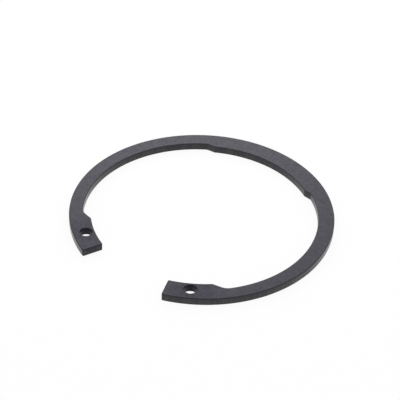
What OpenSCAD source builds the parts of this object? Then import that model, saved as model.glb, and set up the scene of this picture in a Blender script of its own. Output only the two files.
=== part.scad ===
/* [Ring] */
// Diameter over the rim with the ring unloaded
rim_d = 100.5; // [92:0.5:110]
// Thickness of the sheet
thick = 3; // [2:0.25:4]
// Radius that tumbling leaves on the edges of both faces
edge_r = 0.4; // [0.2:0.05:0.5]

/* [Middle, opposite the gap] */
// Width of the band at the middle
mid_w = 7.9; // [7:0.1:9.5]
// Half of the angle over which the middle keeps its full width
mid_half_angle = 31.5; // [20:0.5:50]
// Slope of the shoulders that step the middle down to the arms
mid_slope = 26; // [18:1:45]

/* [Arms] */
// Width of the arms where they cross the sides of the ring
arm_w = 5.7; // [4.5:0.1:6.2]
// Shift of the arms' inner circle towards the gap, which thins the arms near the lugs
arm_shift = 0.8; // [0:0.1:1.2]
// Fillet radius where a shoulder runs into an arm
root_r = 2.5; // [1:0.25:5]

/* [Lugs] */
// Width of the lugs
lug_w = 8.2; // [7.2:0.1:9.5]
// Angle from the middle of the gap to the end face of each lug
gap_half_angle = 21.7; // [14:0.1:30]
// Angle that each lug takes up, from its end face to its shoulder
lug_angle = 21.8; // [18:0.2:30]
// Slope of the shoulders that step the lugs down to the arms
lug_slope = 32; // [20:1:60]
// Radius of the corners of the end faces, seen from above
end_corner_r = 0.6; // [0.5:0.1:1]

/* [Plier holes] */
// Diameter of the hole in each lug
hole_d = 4.6; // [3:0.1:5.2]
// Wall between a hole and the inner edge of its lug
hole_wall = 1; // [0.7:0.1:1.3]
// Distance from a hole's middle to the end face of its lug
hole_from_end = 9; // [5:0.1:10]

/* [Hidden] */
$fn = 180;

rim_r = rim_d / 2;
mid_r = rim_r - mid_w;
lug_r = rim_r - lug_w;
arm_r = rim_r - arm_w;
arm_centre = [0, -arm_shift];

// Angles from the middle of the gap, which faces -Y, anticlockwise seen from above:
// where a lug's shoulder starts, where the middle's shoulder starts, and half-way along an arm
lug_end_angle = gap_half_angle + lug_angle;
mid_start_angle = 180 - mid_half_angle;
arm_angle = (lug_end_angle + mid_start_angle) / 2;

hole_r = lug_r + hole_wall + hole_d / 2;
hole_angle = gap_half_angle + asin(hole_from_end / hole_r);

// How far a cut runs on into the open
spare = 2;
// How much larger a rounding in the plan is than the one that would just touch its walls, so that
// they cross cleanly
lap = 0.01;
// Angle at which a rounded edge crosses the face and the wall beside it
crease = 15;
// Radii of the edges along straight walls, and along the roundings in the plan. Each differs a
// little from the others and from edge_r, so that edges also cross cleanly where walls meet.
straight_edge_r = edge_r + lap;
rounding_edge_r = edge_r + 2 * lap;
// Radius inside which nothing of the ring is left
clear_r = min(mid_r, lug_r) - spare;
// The most by which the arms' inner wall is set back from the lugs and the middle
set_back = max(lug_w, mid_w) - arm_w + arm_shift;

// Unit vectors outwards and anticlockwise at an angle from the gap, and a point at that angle
function out(angle) = [sin(angle), -cos(angle)];
function around(angle) = [cos(angle), sin(angle)];
function at(angle, radius) = radius * out(angle);
function heading(v) = atan2(v.y, v.x);

// A shoulder is [angle and radius of its foot, slope, way]. It climbs from its foot on an inner
// wall to the arm's inner circle, anticlockwise if its way is 1 and clockwise if it is -1.
LUG = [lug_end_angle, lug_r, lug_slope, 1];
MIDDLE = [mid_start_angle, mid_r, mid_slope, -1];
function foot(shoulder) = at(shoulder[0], shoulder[1]);

// Unit vectors up a shoulder's wall and out of its wall, into the open
function up_wall(shoulder) =
    shoulder[3] * cos(shoulder[2]) * around(shoulder[0]) + sin(shoulder[2]) * out(shoulder[0]);
function off_wall(shoulder) =
    shoulder[3] * sin(shoulder[2]) * around(shoulder[0]) - cos(shoulder[2]) * out(shoulder[0]);

// Distance from a start point inside a circle, in a unit direction, to that circle
function reach(start, direction, centre, radius) =
    let (w = start - centre, b = w * direction)
    -b + sqrt(b * b - w * w + radius * radius);

// Centre of the fillet that touches both a shoulder's wall and the arm's inner circle
function root_centre(shoulder) =
    let (start = foot(shoulder) + root_r * off_wall(shoulder), up = up_wall(shoulder))
    start + up * reach(start, up, arm_centre, arm_r - root_r);

// Section of what a cut leaves, from a wall at x = 0 to x = width and on past both faces, with the
// wall's two edges rounded by arcs of the given radius
module kept_section(width, arc_r) {
    inset = arc_r * cos(crease);
    difference() {
        translate([0, -spare]) square([width, thick + 2 * spare]);
        for (z = [-spare, thick - inset]) difference() {
            translate([-inset, z]) square([2 * inset, spare + inset]);
            translate([inset, max(z, inset)]) circle(arc_r);
        }
    }
}

// Section of a cut from x = near to a wall at x = wall, which leaves the wall's edges rounded
module cut_section(near, wall, arc_r) {
    inset = arc_r * cos(crease);
    difference() {
        translate([near, -spare]) square([wall + inset - near, thick + 2 * spare]);
        translate([wall, 0]) kept_section(2 * inset, arc_r);
    }
}

// The blank: a flat disc with a rounded rim and a plain hole, smaller than any inner wall
module blank() {
    rotate_extrude() intersection() {
        translate([rim_r, 0]) mirror([1, 0]) kept_section(rim_r - clear_r, edge_r);
        square([rim_r + spare, thick]);
    }
}

// A cut about a centre, out to a wall of the given radius, from one heading round to another
module round_cut(centre, near, wall, from, to, arc_r = edge_r) {
    translate(centre) rotate(from) rotate_extrude(angle = to - from)
        cut_section(near, wall, arc_r);
}

// A cut along a straight wall from point a to point b, with the ring on its left, wide enough to
// clear all that a shoulder leaves standing beside the arm's pocket
module straight_cut(a, b) {
    translate(a) rotate(heading(b - a)) rotate([90, 0, 90])
        linear_extrude(norm(b - a)) cut_section(-spare - set_back, 0, straight_edge_r);
}

// Rounds a corner of the plan: takes off all that lies outside an upright post that touches both
// walls, within the triangle between the two places where it touches and a point in the open
module corner_cut(open_point, touch_a, touch_b, centre, radius) {
    difference() {
        translate([0, 0, -spare]) linear_extrude(thick + 2 * spare)
            polygon([open_point, touch_a, touch_b]);
        translate(centre) rotate_extrude() translate([radius + lap, 0]) mirror([1, 0])
            kept_section(radius + lap, rounding_edge_r);
    }
}

// The inner walls of both lugs and of the middle
module inner_walls() {
    round_cut([0, 0], clear_r - spare, lug_r, -90 - arm_angle, -90 + arm_angle);
    round_cut([0, 0], clear_r - spare, mid_r, -90 + arm_angle, 270 - arm_angle);
}

// The gap between the square end faces
module gap() {
    rotate(-90 - gap_half_angle) rotate_extrude(angle = 2 * gap_half_angle)
        translate([clear_r - spare, -spare])
            square([rim_r - clear_r + 2 * spare, thick + 2 * spare]);
}

// The long step back in the inner edge that makes an arm thinner than the middle and the lugs
module arm_pocket() {
    round_cut(arm_centre, clear_r - spare, arm_r,
        heading(root_centre(LUG) - arm_centre), heading(root_centre(MIDDLE) - arm_centre));
}

// The sloping wall of a shoulder
module shoulder_wall(shoulder) {
    top = root_centre(shoulder) - root_r * off_wall(shoulder);
    past_foot = foot(shoulder) - spare * up_wall(shoulder);
    if (shoulder[3] > 0) straight_cut(top, past_foot);
    else straight_cut(past_foot, top);
}

// The fillet between a shoulder and its arm
module shoulder_root(shoulder) {
    round_cut(root_centre(shoulder), 0, root_r + lap, 0, 360, rounding_edge_r);
}

// The broken edges of one lug's end face
module end_face() {
    straight_cut(at(gap_half_angle, lug_r - spare), at(gap_half_angle, rim_r + spare));
}

// A rounded corner of an end face, at the inner wall if way is 1 or at the rim if it is -1
module end_corner(wall_r, way) {
    post_r = wall_r + way * end_corner_r;
    touch = out(gap_half_angle) * sqrt(post_r * post_r - end_corner_r * end_corner_r);
    post = touch + end_corner_r * around(gap_half_angle);
    open_point = at(gap_half_angle, wall_r - way * spare) - spare * around(gap_half_angle);
    corner_cut(open_point, touch, post * wall_r / post_r, post, end_corner_r);
}

// The round hole that one jaw of the pliers enters
module plier_hole() {
    round_cut(at(hole_angle, hole_r), 0, hole_d / 2, 0, 360);
}

// What is cut from the blank, in order: first what both sides share, then each side's own cuts
SIDE_CUTS = ["arm", "lug shoulder", "middle shoulder", "lug root", "middle root", "end face",
    "inner corner", "outer corner", "hole"];
CUTS = concat([[0, "walls"], [0, "gap"]], [for (side = [0, 1]) for (cut = SIDE_CUTS) [side, cut]]);

module cut(side, name) {
    mirror([side, 0, 0]) {
        if (name == "walls") inner_walls();
        if (name == "gap") gap();
        if (name == "arm") arm_pocket();
        if (name == "lug shoulder") shoulder_wall(LUG);
        if (name == "middle shoulder") shoulder_wall(MIDDLE);
        if (name == "lug root") shoulder_root(LUG);
        if (name == "middle root") shoulder_root(MIDDLE);
        if (name == "end face") end_face();
        if (name == "inner corner") end_corner(lug_r, 1);
        if (name == "outer corner") end_corner(rim_r, -1);
        if (name == "hole") plier_hole();
    }
}

// The blank after a number of the cuts, each made by itself so that the rounded edges meet well
module stamped(count) {
    if (count == 0) blank();
    else difference() {
        stamped(count - 1);
        cut(CUTS[count - 1][0], CUTS[count - 1][1]);
    }
}

// The ring: a flat sheet blank, stamped out and tumbled, the same on both faces
module retaining_ring() {
    color([0.25, 0.25, 0.27]) stamped(len(CUTS));
}

retaining_ring();
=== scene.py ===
import math

import bpy
from bpy.props import (
    FloatProperty,
    FloatVectorProperty,
    IntProperty,
    PointerProperty,
)
from mathutils import Matrix, Vector


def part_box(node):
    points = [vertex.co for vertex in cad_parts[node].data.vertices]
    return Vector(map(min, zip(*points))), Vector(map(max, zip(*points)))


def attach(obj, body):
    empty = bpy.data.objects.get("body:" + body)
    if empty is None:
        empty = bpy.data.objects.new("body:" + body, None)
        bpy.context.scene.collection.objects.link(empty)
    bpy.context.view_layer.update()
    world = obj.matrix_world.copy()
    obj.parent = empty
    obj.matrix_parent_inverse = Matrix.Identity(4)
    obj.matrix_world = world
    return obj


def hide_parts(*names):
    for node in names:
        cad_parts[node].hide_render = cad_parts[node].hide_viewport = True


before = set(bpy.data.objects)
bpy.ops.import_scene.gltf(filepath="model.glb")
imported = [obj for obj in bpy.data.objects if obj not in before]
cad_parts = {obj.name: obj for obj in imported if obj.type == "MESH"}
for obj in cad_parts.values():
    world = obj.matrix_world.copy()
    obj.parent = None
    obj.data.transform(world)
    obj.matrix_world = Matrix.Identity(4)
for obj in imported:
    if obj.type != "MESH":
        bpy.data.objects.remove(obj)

bl_info = {
    "name": "Internal Retaining Ring",
    "version": (1, 0, 0),
    "blender": (4, 5, 0),
    "location": "3D View > Sidebar > Retaining Ring",
    "description": "Builds a stamped internal retaining ring with a phosphate coat, and its stage",
    "category": "Add Mesh",
}

CAD_NODE = "retaining_ring"
CAD_LOW, CAD_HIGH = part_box(CAD_NODE)
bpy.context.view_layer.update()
MM = 0.001

# Centre of the rim and of the inner walls of the lugs and of the middle
RIM_CENTRE = Vector((0, 0))
# How many parts a shoulder's foot, straight and root have, and an end corner and a plier hole
FOOT_PARTS = 5
RAMP_PARTS = 8
ROOT_PARTS = 7
CORNER_PARTS = 6
HOLE_PARTS = 96
# How far from the end face the next point of a lug's wall lies, in radii of the end corner
CORNER_CLEARANCE = 2.5
# Profile of a bevel that is round
ROUND_PROFILE = 0.5
# Edges that turn by more than the first angle are bevelled, and those that turn by less than the
# second one are shaded smooth
BEVEL_ANGLE = math.radians(50)
SMOOTH_ANGLE = math.radians(35)
# Length of the punch for a plier hole, in thicknesses of the sheet
PUNCH_LENGTH = 3
# How far a point may lie from where it is looked for
TOLERANCE = 0.01 * MM

# The upright part of the normal, 0 on a wall and 1 on a face, where the zone of the walls and that
# of the faces start and where they are full
WALL_LIFT = (0.25, 0.05)
FACE_LIFT = (0.90, 0.995)
# How far from a hole, an end face, or an end face's long edges a zone starts, and where it is full
HOLE_REACH = (0.50 * MM, 0.08 * MM)
LUG_REACH = (10 * MM, 1 * MM)
END_REACH = (0.45 * MM, 0.25 * MM)
STRIP_REACH = (1.0 * MM, 0.35 * MM)
# Size of the spots on the end faces, and how strong the strips are beside them
SPOT_SIZE = 0.8 * MM
STRIP_SHARE = 0.7
# Size of the clusters of crystals, in crystals, and the share of single crystals in the grain
CLUSTER_SIZE = 4.0
FINE_SHARE = 0.35
# Share of the grain in the clouds of the coat, of which the rest are the patches of oil
GRAIN_SHARE = 0.6
# Widths of the die's fine and broad scores, the scale along Z that draws them out upright, and
# their depth against that of the grain
FINE_SCORE = 0.35 * MM
BROAD_SCORE = 1.6 * MM
SCORE_STRETCH = 0.08
SCORE_DEPTH = 0.8
# Where the broken band starts and where it is full, and how far its top waves, all as shares of the
# thickness; the band's lighter colour is also painted light from the floor
BAND_TOP = (0.66, 0.54)
BAND_WAVES = 0.25


class RingSizes(bpy.types.PropertyGroup):
    """Sizes of the ring's plan and section"""

    rim_r: FloatProperty(
        name="Rim radius", description="Radius over the rim with the ring unloaded",
        default=(CAD_HIGH.x - CAD_LOW.x) / 2, unit="LENGTH", precision=5)
    thick: FloatProperty(
        name="Thickness", description="Thickness of the sheet",
        default=CAD_HIGH.z - CAD_LOW.z, unit="LENGTH", precision=5)
    edge_r: FloatProperty(
        name="Edge radius", description="Radius that tumbling leaves on the edges of both faces",
        default=0.3 * MM, unit="LENGTH", precision=5)
    hole_edge_r: FloatProperty(
        name="Hole edge radius", description="Radius of the edges of the plier holes",
        default=0.13 * MM, unit="LENGTH", precision=5)
    mid_w: FloatProperty(
        name="Middle width", description="Width of the band opposite the gap",
        default=7.9 * MM, unit="LENGTH", precision=5)
    mid_half_angle: FloatProperty(
        name="Middle half angle",
        description="Half of the angle over which the middle keeps its width",
        default=math.radians(31.5), subtype="ANGLE")
    mid_slope: FloatProperty(
        name="Middle shoulder slope", description="Slope of the shoulders beside the middle",
        default=math.radians(26), subtype="ANGLE")
    arm_w: FloatProperty(
        name="Arm width", description="Width of the arms where they cross the sides of the ring",
        default=5.7 * MM, unit="LENGTH", precision=5)
    arm_shift: FloatProperty(
        name="Arm shift", description="Shift of the arms' inner circle towards the gap",
        default=0.8 * MM, unit="LENGTH", precision=5)
    lug_root_r: FloatProperty(
        name="Lug root radius", description="Fillet radius where a lug's shoulder runs into an arm",
        default=5.0 * MM, unit="LENGTH", precision=5)
    mid_root_r: FloatProperty(
        name="Middle root radius",
        description="Fillet radius where a shoulder of the middle runs into an arm",
        default=2.5 * MM, unit="LENGTH", precision=5)
    foot_r: FloatProperty(
        name="Foot radius", description="Radius that tumbling leaves where a shoulder starts",
        default=1.2 * MM, unit="LENGTH", precision=5)
    lug_w: FloatProperty(
        name="Lug width", description="Width of the lugs",
        default=8.2 * MM, unit="LENGTH", precision=5)
    gap_half_angle: FloatProperty(
        name="Gap half angle",
        description="Angle from the middle of the gap to the end face of a lug",
        default=math.radians(21.7), subtype="ANGLE")
    lug_angle: FloatProperty(
        name="Lug angle", description="Angle from the end face of a lug to its shoulder",
        default=math.radians(21.8), subtype="ANGLE")
    lug_slope: FloatProperty(
        name="Lug shoulder slope", description="Slope of the shoulders beside the lugs",
        default=math.radians(32), subtype="ANGLE")
    end_corner_r: FloatProperty(
        name="End corner radius",
        description="Radius of the corners of the end faces, seen from above",
        default=0.6 * MM, unit="LENGTH", precision=5)
    hole_d: FloatProperty(
        name="Hole diameter", description="Diameter of the plier hole in each lug",
        default=4.6 * MM, unit="LENGTH", precision=5)
    hole_wall: FloatProperty(
        name="Hole wall", description="Wall between a hole and the inner edge of its lug",
        default=1.0 * MM, unit="LENGTH", precision=5)
    hole_from_end: FloatProperty(
        name="Hole from end",
        description="Distance from a hole's middle to the end face of its lug",
        default=9.0 * MM, unit="LENGTH", precision=5)
    step: FloatProperty(
        name="Step", description="Largest angle between two neighbouring points of a wall",
        default=math.radians(0.5), subtype="ANGLE")
    edge_segments: IntProperty(
        name="Edge segments", description="Faces across a rounded edge",
        default=5, min=2, max=12)


class RingFinish(bpy.types.PropertyGroup):
    """Colours and sheen of the phosphate coat and its film of oil"""

    # The darkest coat serves the die's scores, and also the painted shade of the edges and the
    # holes
    coat_deep: FloatVectorProperty(
        name="Coat, darkest", description="Colour of the coat in scores, on edges and in holes",
        subtype="COLOR", size=3, min=0, max=1, default=(0.0046, 0.0042, 0.0060))
    # The violet cast of the dark and light coat is painted sheen; the walls' coat is left without
    # it
    coat_dark: FloatVectorProperty(
        name="Coat, dark", description="Colour of the phosphate coat where it is thick",
        subtype="COLOR", size=3, min=0, max=1, default=(0.013, 0.012, 0.017))
    coat_light: FloatVectorProperty(
        name="Coat, light", description="Colour of the phosphate coat where it is thin",
        subtype="COLOR", size=3, min=0, max=1, default=(0.039, 0.037, 0.045))
    coat_wall: FloatVectorProperty(
        name="Coat, walls", description="Colour of the coat on the walls, where the die cut them",
        subtype="COLOR", size=3, min=0, max=1, default=(0.040, 0.038, 0.027))
    # The broken band is lighter and warmer than the walls: the broken sheet, and painted floor
    # light
    coat_broken_floor_lit: FloatVectorProperty(
        name="Coat, broken band",
        description="Colour of the coat on the rough lower band of the walls",
        subtype="COLOR", size=3, min=0, max=1, default=(0.062, 0.060, 0.048))
    fracture: FloatProperty(
        name="Broken band", description="How clearly the rough lower band of the walls shows",
        default=0.6, min=0, max=1, subtype="FACTOR")
    # Painted shade: the rounded edges' coat is darkened for the dark surroundings they reflect
    edge_painted_shade: FloatProperty(
        name="Edge shade", description="How much darker the coat is on the rounded edges",
        default=0.6, min=0, max=1, subtype="FACTOR")
    edge_wear: FloatProperty(
        name="Edge wear", description="How much of the oil is wiped off the rounded edges",
        default=0.25, min=0, max=1, subtype="FACTOR")
    wall_shade: FloatProperty(
        name="Wall shade", description="How much darker the die's scores are on the stamped walls",
        default=0.7, min=0, max=1, subtype="FACTOR")
    # Painted shade: the plier holes' coat is darkened and their film thinned for the shade inside
    # them
    hole_painted_shade: FloatProperty(
        name="Hole shade", description="How much the oil and dust in the plier holes darken them",
        default=0.8, min=0, max=1, subtype="FACTOR")
    # The end faces are drawn darker in strips along their long edges and in spots between them
    end_shade: FloatProperty(
        name="End shade", description="How much darker the rough places of the end faces are",
        default=0.45, min=0, max=1, subtype="FACTOR")
    lug_shade: FloatProperty(
        name="Lug shade",
        description="How much less oil there is where pliers and fingers hold the ring",
        default=0.5, min=0, max=1, subtype="FACTOR")
    crystal: FloatProperty(
        name="Crystal size", description="Size of the grain of the phosphate crystals",
        default=0.22 * MM, unit="LENGTH", precision=5)
    mottle: FloatProperty(
        name="Mottle size", description="Size of the patches that the oil film leaves",
        default=3 * MM, unit="LENGTH", precision=5)
    sheen: FloatVectorProperty(
        name="Sheen", description="Colour of the reflection of the coat itself",
        subtype="COLOR", size=3, min=0, max=1, default=(0.66, 0.61, 1.0))
    gloss: FloatProperty(
        name="Gloss", description="Strength of the reflection of the coat itself",
        default=0.24, min=0, max=1, subtype="FACTOR")
    coat_rough: FloatProperty(
        name="Coat roughness", description="Roughness of the coat on faces and edges",
        default=0.45, min=0, max=1, subtype="FACTOR")
    wall_rough: FloatProperty(
        name="Wall roughness", description="Roughness of the walls, which the die has burnished",
        default=0.25, min=0, max=1, subtype="FACTOR")
    rough_spread: FloatProperty(
        name="Roughness spread", description="How much the roughness varies over the coat",
        default=0.1, min=0, max=1, subtype="FACTOR")
    film: FloatProperty(
        name="Oil film", description="How much oil lies on the ring, where none is wiped off",
        default=0.34, min=0, max=1, subtype="FACTOR")
    film_rough: FloatProperty(
        name="Film roughness", description="Roughness of the oil film",
        default=0.45, min=0, max=1, subtype="FACTOR")


class StageSetup(bpy.types.PropertyGroup):
    """Camera, floor and light"""

    azimuth: FloatProperty(
        name="Azimuth",
        description="Direction of the camera round the ring, from in front of the gap",
        default=math.radians(37.1), subtype="ANGLE")
    elevation: FloatProperty(
        name="Elevation", description="Height of the camera above the horizon",
        default=math.radians(37.6), subtype="ANGLE")
    roll: FloatProperty(
        name="Roll", description="Turn of the camera about its own axis",
        default=math.radians(2.18), subtype="ANGLE")
    distance: FloatProperty(
        name="Distance", description="Distance from the camera to its aim",
        default=0.55275, unit="LENGTH")
    lens: FloatProperty(
        name="Lens", description="Focal length of the camera", default=130.78, unit="CAMERA")
    aim_right: FloatProperty(
        name="Aim, right", description="How far right of the ring's centre the camera aims",
        default=-0.647 * MM, unit="LENGTH", precision=5)
    aim_up: FloatProperty(
        name="Aim, up", description="How far above the ring's centre the camera aims",
        default=6.505 * MM, unit="LENGTH", precision=5)
    floor_size: FloatProperty(
        name="Floor size", description="Length of the floor's sides", default=4.0, unit="LENGTH")
    floor_drop: FloatProperty(
        name="Floor drop", description="How far below the ring the floor lies",
        default=0.02 * MM, unit="LENGTH", precision=5)
    floor_colour: FloatVectorProperty(
        name="Floor colour", description="Colour of the floor", subtype="COLOR",
        size=3, min=0, max=1, default=(0.90, 0.90, 0.90))
    shadow_depth: FloatProperty(
        name="Shadow depth", description="Share of the floor that is lit rather than plain white",
        default=0.12, min=0, max=1, subtype="FACTOR")
    white: FloatProperty(
        name="White", description="Strength of the plain white, which makes up for the lit share",
        default=1.03, min=0)
    sky: FloatProperty(
        name="Sky light", description="Strength of the even light from all round",
        default=0.75, min=0)
    key_power: FloatProperty(
        name="Key power", description="Power of the soft box low behind the ring",
        default=0.245, min=0, unit="POWER")
    key_size: FloatProperty(
        name="Key size", description="Length of the soft box's sides",
        default=0.22, min=0, unit="LENGTH")
    key_back: FloatProperty(
        name="Key back", description="How far behind the ring the soft box stands",
        default=0.29, unit="LENGTH")
    key_turn: FloatProperty(
        name="Key turn",
        description="How far the soft box stands to the left, as the camera sees it",
        default=math.radians(4), subtype="ANGLE")
    key_height: FloatProperty(
        name="Key height", description="Height of the soft box above the floor",
        default=0.18, unit="LENGTH")


def out(angle, radius=1.0):
    """The point at that angle, anticlockwise from the middle of the gap, which faces -Y."""
    return Vector((math.sin(angle), -math.cos(angle))) * radius


def around(angle):
    """The direction anticlockwise at that angle."""
    return Vector((math.cos(angle), math.sin(angle)))


def polar(point):
    """The angle of a point, anticlockwise from the middle of the gap."""
    return math.atan2(point.x, -point.y)


def reach(start, direction, centre, radius):
    """How far it is from start, in a unit direction, to the far side of a circle."""
    w = start - centre
    b = w.dot(direction)
    return -b + math.sqrt(b * b - w.length_squared + radius * radius)


def arc(centre, radius, start, end, parts):
    """Points along the shorter arc from the direction of one point to that of another."""
    first = math.atan2(*reversed(start - centre))
    turn = math.atan2(*reversed(end - centre)) - first
    turn = (turn + math.pi) % (2 * math.pi) - math.pi
    angles = [first + turn * k / parts for k in range(parts + 1)]
    return [centre + Vector((math.cos(t), math.sin(t))) * radius for t in angles]


def arm_circle(s):
    """The centre and the radius of the arms' inner wall."""
    return Vector((0, -s.arm_shift)), s.rim_r - s.arm_w


def shoulder(s, angle, radius, slope, root_r, way):
    """Points up a shoulder, from the lug's or the middle's inner wall to the arm's, rounded at
    both ends. It climbs anticlockwise if way is 1 and clockwise if it is -1."""
    arm_centre, arm_r = arm_circle(s)
    foot = out(angle, radius)
    up = way * math.cos(slope) * around(angle) + math.sin(slope) * out(angle)
    off = way * math.sin(slope) * around(angle) - math.cos(slope) * out(angle)
    start = foot - s.foot_r * off
    low = start + up * reach(start, up, RIM_CENTRE, radius + s.foot_r)
    start = foot + root_r * off
    high = start + up * reach(start, up, arm_centre, arm_r - root_r)
    low_touch = low + s.foot_r * off
    high_touch = high - root_r * off
    ramp = [low_touch.lerp(high_touch, k / RAMP_PARTS) for k in range(1, RAMP_PARTS)]
    return (
        arc(low, s.foot_r, low * (radius / low.length), low_touch, FOOT_PARTS)
        + ramp
        + arc(high, root_r, high_touch, high + (high - arm_centre), ROOT_PARTS)
    )


def inner_edge(s):
    """Points along the right half of the inner edge, from the end face to the middle, and how many
    of them lie along the lug's own wall."""
    lug_r, mid_r = s.rim_r - s.lug_w, s.rim_r - s.mid_w
    arm_centre, arm_r = arm_circle(s)
    lug_end, mid_start = s.gap_half_angle + s.lug_angle, math.pi - s.mid_half_angle
    lug = shoulder(s, lug_end, lug_r, s.lug_slope, s.lug_root_r, 1)
    middle = shoulder(s, mid_start, mid_r, s.mid_slope, s.mid_root_r, -1)[::-1]

    def wall(centre, radius, start, end):
        parts = max(1, math.ceil(abs(polar(end) - polar(start)) / s.step))
        return arc(centre, radius, start, end, parts)

    end_corner = out(s.gap_half_angle, lug_r)
    past_corner = out(s.gap_half_angle + CORNER_CLEARANCE * s.end_corner_r / lug_r)
    lug_wall = wall(RIM_CENTRE, lug_r, past_corner, lug[0])
    arm_wall = wall(arm_centre, arm_r, lug[-1], middle[0])
    mid_wall = wall(RIM_CENTRE, mid_r, middle[-1], out(math.pi, mid_r))
    points = [end_corner] + lug_wall[:-1] + lug + arm_wall[1:-1] + middle + mid_wall[1:]
    return points, len(lug_wall)


def deselect_all():
    if bpy.context.object and bpy.context.object.mode != "OBJECT":
        bpy.ops.object.mode_set(mode="OBJECT")
    bpy.ops.object.select_all(action="DESELECT")


def make_active(obj):
    deselect_all()
    obj.select_set(True)
    bpy.context.view_layer.objects.active = obj


def select_in_mesh(obj, kind, wanted):
    """Goes into edit mode with the vertices or edges selected for which wanted(item) is true."""
    bpy.ops.object.mode_set(mode="EDIT")
    bpy.ops.mesh.select_mode(type={"vertices": "VERT", "edges": "EDGE"}[kind])
    bpy.ops.mesh.select_all(action="DESELECT")
    bpy.ops.object.mode_set(mode="OBJECT")
    for item in getattr(obj.data, kind):
        item.select = wanted(item)
    bpy.ops.object.mode_set(mode="EDIT")


def apply_modifier(obj, name, kind, **settings):
    """Adds a modifier with these settings and applies it."""
    modifier = obj.modifiers.new(name, kind)
    for key, value in settings.items():
        setattr(modifier, key, value)
    make_active(obj)
    bpy.ops.object.modifier_apply(modifier=name)


def sheet_blank(s):
    """The plan of the ring as a flat sheet on the floor: a strip that is bent round into the
    band."""
    half, lug_points = inner_edge(s)
    left = [Vector((-p.x, p.y)) for p in half[:-1]]
    inner = left + half[::-1]
    angles = [polar(p) for p in left] + [math.pi] + [polar(p) for p in half[:-1]][::-1]
    columns = len(inner) - 1
    deselect_all()
    bpy.ops.mesh.primitive_grid_add(x_subdivisions=columns, y_subdivisions=1, size=1)
    sheet = bpy.context.object
    column_of = {}
    for v in sheet.data.vertices:
        # The strip's left end is the end face of the right lug, and its top edge is the inner edge
        column = columns - round((v.co.x + 0.5) * columns)
        column_of[v.index] = column
        place = inner[column] if v.co.y > 0 else out(angles[column], s.rim_r)
        v.co = (place.x, place.y, 0)

    lugs = set(range(1, lug_points)) | set(range(columns - lug_points + 1, columns))
    ends = {0, columns}

    def across_lug(edge):
        a, b = (column_of[k] for k in edge.vertices)
        return a == b and a in lugs

    # Each lug is made one flat face, so that its hole is cut cleanly
    make_active(sheet)
    select_in_mesh(sheet, "edges", across_lug)
    bpy.ops.mesh.dissolve_edges(use_verts=False)
    select_in_mesh(sheet, "vertices", lambda v: column_of[v.index] in ends)
    bpy.ops.mesh.bevel(
        offset=s.end_corner_r, offset_type="OFFSET", segments=CORNER_PARTS,
        profile=ROUND_PROFILE, affect="VERTICES")
    bpy.ops.object.mode_set(mode="OBJECT")
    return sheet


def hole_middle(s, side):
    """The middle of a plier hole, the right one if side is 1 and the left one if it is -1."""
    radius = s.rim_r - s.lug_w + s.hole_wall + s.hole_d / 2
    angle = s.gap_half_angle + math.asin(s.hole_from_end / radius)
    return out(side * angle, radius)


def punch_holes(ring, s):
    """Cuts both plier holes through the lugs and rounds their edges."""
    spots = [hole_middle(s, side) for side in (1, -1)]
    for spot in spots:
        deselect_all()
        bpy.ops.mesh.primitive_cylinder_add(
            vertices=HOLE_PARTS, radius=s.hole_d / 2, depth=PUNCH_LENGTH * s.thick,
            location=(spot.x, spot.y, s.thick / 2))
        punch = bpy.context.object
        apply_modifier(
            ring, "plier_hole", "BOOLEAN", operation="DIFFERENCE", solver="EXACT", object=punch)
        bpy.data.objects.remove(punch)

    def on_hole_edge(edge):
        a, b = (ring.data.vertices[k].co for k in edge.vertices)
        off = [min(abs((p.xy - spot).length - s.hole_d / 2) for spot in spots) for p in (a, b)]
        return max(off) < TOLERANCE and abs(a.z - b.z) < TOLERANCE

    select_in_mesh(ring, "edges", on_hole_edge)
    bpy.ops.mesh.bevel(
        offset=s.hole_edge_r, offset_type="OFFSET", segments=s.edge_segments,
        profile=ROUND_PROFILE, affect="EDGES")
    bpy.ops.object.mode_set(mode="OBJECT")


def stamp_ring(s):
    """The ring's mesh: the flat sheet raised to its thickness, with all its edges rounded and the
    plier holes cut."""
    ring = sheet_blank(s)
    ring.name = ring.data.name = "stamped_ring"
    make_active(ring)
    bpy.ops.object.mode_set(mode="EDIT")
    bpy.ops.mesh.select_all(action="SELECT")
    bpy.ops.mesh.extrude_region_move(TRANSFORM_OT_translate={"value": (0, 0, s.thick)})
    bpy.ops.mesh.select_all(action="SELECT")
    bpy.ops.mesh.normals_make_consistent(inside=False)
    bpy.ops.object.mode_set(mode="OBJECT")
    apply_modifier(
        ring, "rounded_edges", "BEVEL", width=s.edge_r, segments=s.edge_segments,
        profile=ROUND_PROFILE, limit_method="ANGLE", angle_limit=BEVEL_ANGLE,
        use_clamp_overlap=False)
    punch_holes(ring, s)
    make_active(ring)
    bpy.ops.object.shade_smooth_by_angle(angle=SMOOTH_ANGLE)
    apply_modifier(ring, "flat_faces", "WEIGHTED_NORMAL", keep_sharp=True)
    return ring


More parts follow.
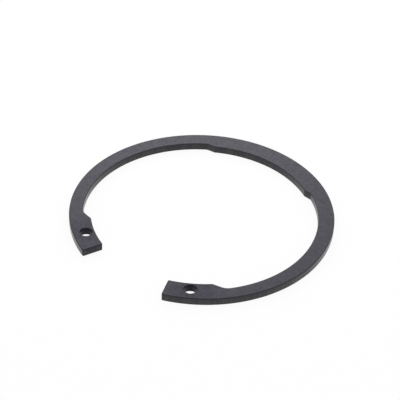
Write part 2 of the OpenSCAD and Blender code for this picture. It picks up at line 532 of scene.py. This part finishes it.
class Nodes:
    """Adds nodes to a tree."""

    def __init__(self, tree):
        self.tree = tree

    def add(self, kind, inputs=(), **settings):
        node = self.tree.nodes.new(kind)
        for key, value in settings.items():
            setattr(node, key, value)
        for name, value in dict(inputs).items():
            if isinstance(value, bpy.types.NodeSocket):
                self.tree.links.new(value, node.inputs[name])
            else:
                node.inputs[name].default_value = value
        return node

    def group(self, tree, inputs=()):
        return self.add("ShaderNodeGroup", inputs, node_tree=tree).outputs

    def math(self, operation, a, b=0.0, clamp=False):
        node = self.add("ShaderNodeMath", {0: a, 1: b}, operation=operation, use_clamp=clamp)
        return node.outputs[0]

    def ramp(self, value, low, high):
        """0 where value is low, 1 where it is high, and smooth between. Low may be the larger."""
        node = self.add(
            "ShaderNodeMapRange", {"Value": value, "From Min": low, "From Max": high},
            interpolation_type="SMOOTHSTEP")
        return node.outputs["Result"]

    def between(self, share, a, b):
        """The value at a share of the way from a to b."""
        node = self.add("ShaderNodeMapRange", {"Value": share, "To Min": a, "To Max": b})
        return node.outputs["Result"]

    def blend(self, share, a, b):
        """The colour at a share of the way from a to b."""
        # The node's colours are its inputs 6 and 7 and its output 2
        node = self.add(
            "ShaderNodeMix", {"Factor": share, 6: a, 7: b}, data_type="RGBA", clamp_factor=True)
        return node.outputs[2]

    def mix(self, a, b, share):
        """The value a times share and b times the rest."""
        return self.math("ADD", self.math("MULTIPLY", a, share),
                         self.math("MULTIPLY", b, 1 - share))

    def noise(self, vector, scale, detail, roughness):
        node = self.add(
            "ShaderNodeTexNoise",
            {"Vector": vector, "Scale": scale, "Detail": detail, "Roughness": roughness})
        return node.outputs["Fac"]

    def parts(self, vector):
        return self.add("ShaderNodeSeparateXYZ", {"Vector": vector}).outputs


def colour(rgb):
    return (*rgb, 1.0)


def new_material(name):
    """An empty material and the means to fill it."""
    material = bpy.data.materials.new(name)
    material.use_nodes = True
    material.node_tree.nodes.clear()
    return material, Nodes(material.node_tree)


def new_group(name, inputs, outputs):
    """An empty group with value inputs, after a vector if any, and value outputs. It gives back the
    group, the means to fill it, what the inputs give, and a function that sets an output."""
    tree = bpy.data.node_groups.new(name, "ShaderNodeTree")
    if inputs:
        tree.interface.new_socket("Vector", in_out="INPUT", socket_type="NodeSocketVector")
    for label, value in inputs.items():
        socket = tree.interface.new_socket(label, in_out="INPUT", socket_type="NodeSocketFloat")
        socket.default_value = value
    for label in outputs:
        tree.interface.new_socket(label, in_out="OUTPUT", socket_type="NodeSocketFloat")
    n = Nodes(tree)
    given = n.add("NodeGroupInput").outputs
    result = n.add("NodeGroupOutput").inputs

    def give(label, value):
        tree.links.new(value, result[label])

    return tree, n, given, give


def sheet_zones():
    """A group that tells the flat faces, the stamped walls and the rounded edges of sheet metal
    apart by which way they face."""
    tree, n, _, give = new_group("Sheet zones", {}, ["Walls", "Edges"])
    normal = n.add("ShaderNodeNewGeometry").outputs["Normal"]
    lift = n.math("ABSOLUTE", n.parts(normal)["Z"])
    walls = n.ramp(lift, *WALL_LIFT)
    faces = n.ramp(lift, *FACE_LIFT)
    give("Walls", walls)
    give("Edges", n.math("SUBTRACT", 1.0, n.math("ADD", walls, faces), clamp=True))
    return tree


def hole_zone():
    """A group that marks the walls and the rounded edges of the two plier holes, and the lugs round
    them."""
    tree, n, given, give = new_group(
        "Plier holes", {"Middle X": 0.025, "Middle Y": -0.038, "Radius": 0.0023}, ["Holes", "Lugs"])
    place = n.parts(given["Vector"])
    across = n.math("SUBTRACT", n.math("ABSOLUTE", place["X"]), given["Middle X"])
    along = n.math("SUBTRACT", place["Y"], given["Middle Y"])
    squares = n.math("ADD", n.math("POWER", across, 2.0), n.math("POWER", along, 2.0))
    beyond = n.math("SUBTRACT", n.math("SQRT", squares), given["Radius"])
    give("Holes", n.ramp(beyond, *HOLE_REACH))
    give("Lugs", n.ramp(beyond, *LUG_REACH))
    return tree


def end_zone():
    """A group that marks the two end faces and gives the places on them that are drawn darker:
    strips along the long edges, and spots between them."""
    tree, n, given, give = new_group(
        "End faces", {"Angle": 0.38, "Thickness": 0.003}, ["Ends", "Dirt"])
    place = n.parts(given["Vector"])
    across = n.math("MULTIPLY", n.math("ABSOLUTE", place["X"]), n.math("COSINE", given["Angle"]))
    along = n.math("MULTIPLY", place["Y"], n.math("SINE", given["Angle"]))
    give("Ends", n.ramp(n.math("ADD", across, along), *END_REACH))
    from_top = n.math("SUBTRACT", given["Thickness"], place["Z"])
    strips = n.ramp(n.math("MINIMUM", place["Z"], from_top), *STRIP_REACH)
    spots = n.noise(given["Vector"], 1 / SPOT_SIZE, detail=3.0, roughness=0.6)
    spots = n.ramp(spots, low=0.34, high=0.66)
    give("Dirt", n.math("MAXIMUM", n.math("MULTIPLY", strips, STRIP_SHARE), spots))
    return tree


def phosphate_grain():
    """A group that gives the crystals of a phosphate coat and the patches that oil leaves on it."""
    tree, n, given, give = new_group(
        "Phosphate grain", {"Crystal": 0.0002, "Mottle": 0.004}, ["Grain", "Patches", "Height"])

    def sized(size, detail):
        scale = n.math("DIVIDE", 1.0, size)
        return n.noise(given["Vector"], scale, detail, roughness=0.6)

    fine = sized(given["Crystal"], detail=2.0)
    clusters = sized(n.math("MULTIPLY", given["Crystal"], CLUSTER_SIZE), detail=3.0)
    patches = sized(given["Mottle"], detail=4.0)
    grain = n.mix(fine, clusters, FINE_SHARE)
    give("Grain", n.ramp(grain, low=0.38, high=0.62))
    give("Patches", n.ramp(patches, low=0.22, high=0.78))
    give("Height", grain)
    return tree


def stamping_marks():
    """A group that gives the upright scores that a die leaves on the walls of stamped sheet, and
    the lower band of those walls, where the sheet broke off instead of being cut and where light
    from the floor is painted on"""
    tree, n, given, give = new_group("Stamping marks", {"Thickness": 0.003}, ["Marks", "Fracture"])
    stretched = n.add(
        "ShaderNodeMapping", {"Vector": given["Vector"], "Scale": (1.0, 1.0, SCORE_STRETCH)})
    along = stretched.outputs["Vector"]
    fine = n.noise(along, 1 / FINE_SCORE, detail=3.0, roughness=0.7)
    broad = n.noise(along, 1 / BROAD_SCORE, detail=2.0, roughness=0.5)
    fine = n.ramp(fine, low=0.30, high=0.72)
    broad = n.ramp(broad, low=0.36, high=0.64)
    marks = n.mix(fine, broad, 0.5)
    give("Marks", marks)
    share = n.math("DIVIDE", n.parts(given["Vector"])["Z"], given["Thickness"])
    waves = n.math("MULTIPLY", n.math("SUBTRACT", marks, 0.5), BAND_WAVES)
    give("Fracture", n.ramp(n.math("ADD", share, waves), *BAND_TOP))
    return tree


def phosphated_steel(look, sizes):
    """Dark grey phosphate on spring steel, satin with a thin film of oil."""
    material, n = new_material("Phosphated steel")
    place = n.add("ShaderNodeTexCoord").outputs["Object"]
    middle = hole_middle(sizes, 1)
    zones = n.group(sheet_zones())
    grain = n.group(
        phosphate_grain(), {"Vector": place, "Crystal": look.crystal, "Mottle": look.mottle})
    stamping = n.group(stamping_marks(), {"Vector": place, "Thickness": sizes.thick})
    holes = n.group(
        hole_zone(), {"Vector": place, "Middle X": middle.x, "Middle Y": middle.y,
                      "Radius": sizes.hole_d / 2})
    ends = n.group(
        end_zone(), {"Vector": place, "Angle": sizes.gap_half_angle, "Thickness": sizes.thick})

    def share(mask, amount):
        return n.math("MULTIPLY", mask, amount)

    def less(value, amount):
        return n.math("MULTIPLY", value, n.math("SUBTRACT", 1.0, amount))

    # Colour: the grain, and over it what the edges, the walls, the holes and the ends change; the
    # darkening of the edges and the holes is painted shade, and the lighter lower band of the walls
    # is partly painted light from the floor
    deep = colour(look.coat_deep)
    cloud = n.mix(grain["Grain"], grain["Patches"], GRAIN_SHARE)
    # Painted shade in the plier holes
    hole = share(holes["Holes"], look.hole_painted_shade)
    end = share(share(ends["Dirt"], ends["Ends"]), look.end_shade)
    # The walls' lower band: the broken band, lightened as painted light from the floor
    fracture = share(share(zones["Walls"], stamping["Fracture"]), look.fracture)
    scores = share(zones["Walls"], share(stamping["Marks"], look.wall_shade))
    coat = n.blend(cloud, colour(look.coat_dark), colour(look.coat_light))
    # Painted shade on the rounded edges
    coat = n.blend(share(zones["Edges"], look.edge_painted_shade), coat, deep)
    coat = n.blend(zones["Walls"], coat, colour(look.coat_wall))
    coat = n.blend(fracture, coat, colour(look.coat_broken_floor_lit))
    coat = n.blend(scores, coat, deep)
    coat = n.blend(hole, coat, deep)
    coat = n.blend(end, coat, deep)

    # The oil film is partly wiped off the edges and the lugs, is thinner on the darker places of
    # the end faces, and is thinner in the holes as part of their painted shade
    dull = n.math("MAXIMUM", share(zones["Edges"], look.edge_wear), hole)
    handled = less(share(holes["Lugs"], look.lug_shade), zones["Walls"])
    clean = less(less(n.math("SUBTRACT", 1.0, dull), handled), end)
    film = share(clean, look.film)

    base_rough = n.between(zones["Walls"], look.coat_rough, look.wall_rough)
    spread = share(n.math("SUBTRACT", 0.5, cloud), 2 * look.rough_spread)
    score_height = share(share(stamping["Marks"], zones["Walls"]), SCORE_DEPTH)
    height = n.math("ADD", grain["Height"], score_height)
    bump = n.add("ShaderNodeBump", {"Height": height, "Distance": 0.02 * MM, "Strength": 0.6})
    shader = n.add(
        "ShaderNodeBsdfPrincipled",
        {"Base Color": coat, "Roughness": n.math("ADD", base_rough, spread, clamp=True),
         "Normal": bump.outputs["Normal"], "Metallic": 0.0, "IOR": 1.5,
         "Specular IOR Level": look.gloss, "Specular Tint": colour(look.sheen),
         "Coat Weight": film, "Coat Roughness": look.film_rough, "Coat IOR": 1.5})
    n.add("ShaderNodeOutputMaterial", {"Surface": shader.outputs["BSDF"]})
    return material


def sees_white(n):
    """1 for rays that see the stage straight from the camera or through a reflection or glass, and
    0 for those that gather its light."""
    rays = n.add("ShaderNodeLightPath").outputs
    bounced = n.math("MAXIMUM", rays["Is Glossy Ray"], rays["Is Transmission Ray"])
    return n.math("MAXIMUM", rays["Is Camera Ray"], bounced)


def white_floor(stage):
    """A pale floor that looks white to the camera and to reflections, and keeps the shadow."""
    material, n = new_material("White floor")
    lit = n.add(
        "ShaderNodeBsdfPrincipled", {"Base Color": colour(stage.floor_colour), "Roughness": 0.8})
    white = n.add("ShaderNodeEmission", {"Color": colour((1, 1, 1)), "Strength": stage.white})
    share = n.math("MULTIPLY", sees_white(n), 1 - stage.shadow_depth)
    top = n.add("ShaderNodeMixShader", {0: share, 1: lit.outputs[0], 2: white.outputs[0]})
    # From below the floor is clear, so that the ring's underside can be seen
    below = n.add("ShaderNodeNewGeometry").outputs["Backfacing"]
    clear = n.add("ShaderNodeBsdfTransparent")
    surface = n.add("ShaderNodeMixShader", {0: below, 1: top.outputs[0], 2: clear.outputs[0]})
    n.add("ShaderNodeOutputMaterial", {"Surface": surface.outputs[0]})
    return material


def studio_sky(stage):
    """Even light from all round, which looks white to the camera and to reflections."""
    world = bpy.data.worlds.new("Studio")
    world.use_nodes = True
    world.node_tree.nodes.clear()
    n = Nodes(world.node_tree)
    strength = n.between(sees_white(n), stage.sky, 1.0)
    sky = n.add("ShaderNodeBackground", {"Color": colour((1, 1, 1)), "Strength": strength})
    n.add("ShaderNodeOutputWorld", {"Surface": sky.outputs[0]})
    bpy.context.scene.world = world


def lay_floor(stage):
    """The floor, just under the ring, so that the two don't lie in one plane."""
    deselect_all()
    bpy.ops.mesh.primitive_plane_add(size=stage.floor_size, location=(0, 0, -stage.floor_drop))
    floor = bpy.context.object
    floor.name = "floor"
    floor.data.materials.append(white_floor(stage))


def place_camera(stage):
    """The camera, from its azimuth, elevation, roll, distance and aim."""
    a, e = stage.azimuth, stage.elevation
    ahead = Vector((-math.sin(a) * math.cos(e), math.cos(a) * math.cos(e), -math.sin(e)))
    # Its right and up before and after it is rolled
    level = Vector((math.cos(a), math.sin(a), 0))
    upright = level.cross(ahead)
    right = level * math.cos(stage.roll) + upright * math.sin(stage.roll)
    up = upright * math.cos(stage.roll) - level * math.sin(stage.roll)
    aim = right * stage.aim_right + up * stage.aim_up
    bpy.ops.object.camera_add()
    camera = bpy.context.object
    camera.name = "camera"
    axes = Matrix((right, up, -ahead)).transposed().to_4x4()
    camera.matrix_world = Matrix.Translation(aim - ahead * stage.distance) @ axes
    camera.data.lens = stage.lens
    camera.data.clip_start, camera.data.clip_end = 0.01, 20
    bpy.context.scene.camera = camera


def hang_soft_box(stage):
    """A soft box low behind the ring, as the camera sees it, whose light the top face shows."""
    side = stage.azimuth + stage.key_turn
    behind = Vector((-math.sin(side), math.cos(side), 0))
    bpy.ops.object.light_add(type="AREA")
    lamp = bpy.context.object
    lamp.name = "soft_box"
    lamp.data.shape = "SQUARE"
    lamp.data.size = stage.key_size
    lamp.data.energy = stage.key_power
    lamp.location = behind * stage.key_back + Vector((0, 0, stage.key_height))
    lamp.rotation_euler = (-lamp.location).to_track_quat("-Z", "Y").to_euler()


class RETAINING_RING_OT_ring(bpy.types.Operator):
    """Makes the ring with its phosphate coat, in place of the plain solid"""

    bl_idname = "retaining_ring.ring"
    bl_label = "Make the Ring"

    def execute(self, context):
        scene = context.scene
        ring = stamp_ring(scene.ring_sizes)
        ring.data.materials.append(phosphated_steel(scene.ring_finish, scene.ring_sizes))
        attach(ring, "root")
        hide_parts(CAD_NODE)
        return {"FINISHED"}


class RETAINING_RING_OT_stage(bpy.types.Operator):
    """Makes the floor, the light and the camera"""

    bl_idname = "retaining_ring.stage"
    bl_label = "Make the Stage"

    def execute(self, context):
        stage = context.scene.ring_stage
        context.scene.view_settings.view_transform = "Standard"
        lay_floor(stage)
        studio_sky(stage)
        place_camera(stage)
        hang_soft_box(stage)
        return {"FINISHED"}


class RETAINING_RING_PT_panel(bpy.types.Panel):
    """Sizes, colours and the buttons that make each piece"""

    bl_label = "Retaining Ring"
    bl_idname = "RETAINING_RING_PT_panel"
    bl_space_type = "VIEW_3D"
    bl_region_type = "UI"
    bl_category = "Retaining Ring"

    def draw(self, context):
        scene = context.scene
        for group in (scene.ring_sizes, scene.ring_finish, scene.ring_stage):
            box = self.layout.box()
            for name in group.__annotations__:
                box.prop(group, name)
        self.layout.operator("retaining_ring.ring")
        self.layout.operator("retaining_ring.stage")


CLASSES = (
    RingSizes, RingFinish, StageSetup, RETAINING_RING_OT_ring, RETAINING_RING_OT_stage,
    RETAINING_RING_PT_panel)


def register():
    for item in CLASSES:
        bpy.utils.register_class(item)
    bpy.types.Scene.ring_sizes = PointerProperty(type=RingSizes)
    bpy.types.Scene.ring_finish = PointerProperty(type=RingFinish)
    bpy.types.Scene.ring_stage = PointerProperty(type=StageSetup)


def unregister():
    del bpy.types.Scene.ring_stage
    del bpy.types.Scene.ring_finish
    del bpy.types.Scene.ring_sizes
    for item in reversed(CLASSES):
        bpy.utils.unregister_class(item)


def main():
    register()
    bpy.ops.retaining_ring.ring()
    bpy.ops.retaining_ring.stage()


if __name__ == "__main__":
    main()
